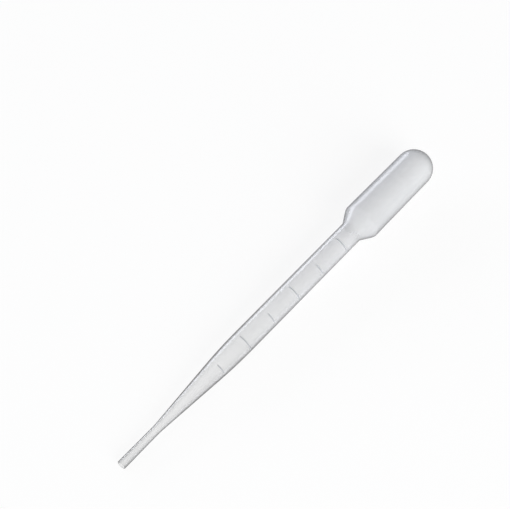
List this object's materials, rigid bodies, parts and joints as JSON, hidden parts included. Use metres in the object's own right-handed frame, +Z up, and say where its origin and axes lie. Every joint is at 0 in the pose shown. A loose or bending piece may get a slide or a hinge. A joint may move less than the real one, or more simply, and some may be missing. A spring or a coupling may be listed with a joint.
{
  "type": "plastic dropper pipette",
  "caption": "Translucent one-piece dropper pipette with a squeeze bulb, a straight graduated stem and a long taper to a thin open tip, lying on its side.",
  "frame": {"origin": "on the bench, at the centre of the bottom of the lying pipette's box", "axes": "+X runs along the pipette from the tip towards the bulb, +Y to the back, +Z up from the bench; the axis of the tube lies in the XZ plane and rises 2.40 degrees towards the bulb"},
  "size_m": [0.156, 0.0136, 0.0145],
  "materials": {
    "polyethylene": "natural low-density polyethylene, blown, milky and translucent with a soft gloss"
  },
  "bodies": {
    "root": {"pipette": "polyethylene"}
  },
  "joints": []
}
